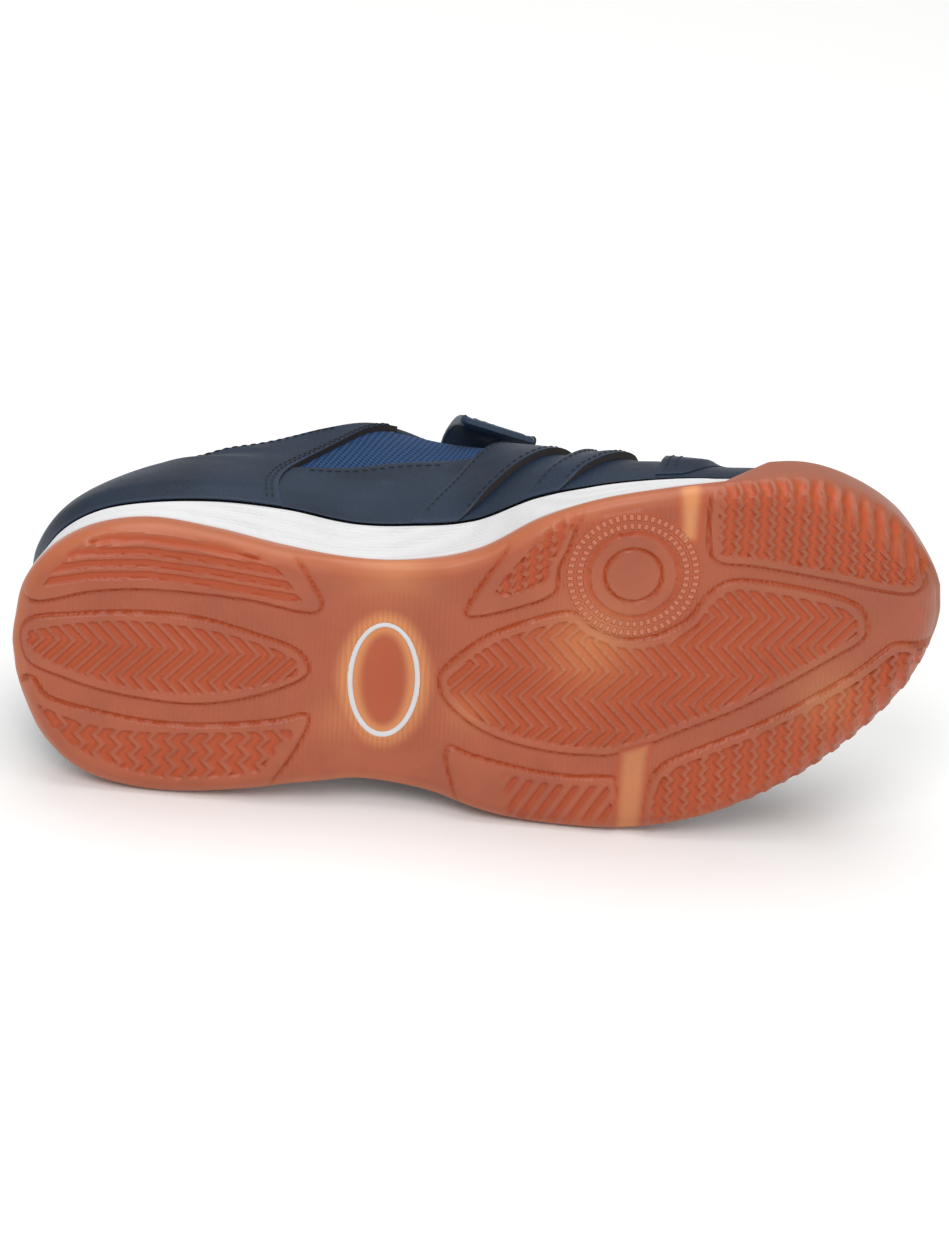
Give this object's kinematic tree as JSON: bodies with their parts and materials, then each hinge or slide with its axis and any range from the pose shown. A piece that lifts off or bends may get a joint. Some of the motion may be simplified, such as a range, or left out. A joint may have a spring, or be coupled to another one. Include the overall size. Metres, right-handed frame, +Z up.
{
  "type": "indoor court shoe",
  "caption": "Left indoor court shoe lying on its lateral side, with a gum rubber sole, white foam midsole, hollow navy upper and one closing strap.",
  "frame": {"origin": "bottom centre of the bounding box of the shoe as it lies on its lateral side", "axes": "+X from heel to toe, +Z up from the floor, -Y the way the sole faces, +Y out of the collar"},
  "size_m": [0.2328, 0.093, 0.0985],
  "materials": {
    "gum": "satin gum rubber",
    "foam": "matte foam",
    "lining": "matte fabric",
    "mesh": "synthetic leather and mesh",
    "padding": "padded fabric",
    "strap": "satin synthetic leather",
    "overlay": "satin synthetic leather"
  },
  "bodies": {
    "root": {"outsole": "gum", "oval_insert": "gum", "midsole": "foam", "insole": "lining", "upper": "mesh", "tongue": "padding", "closing_strap": "strap", "heel_panel": "overlay", "toe_overlay": "overlay", "quarter_panel_medial": "overlay", "quarter_panel_lateral": "overlay", "band_rear_medial": "overlay", "band_rear_lateral": "overlay", "band_front_medial": "overlay", "band_front_lateral": "overlay"}
  },
  "joints": []
}
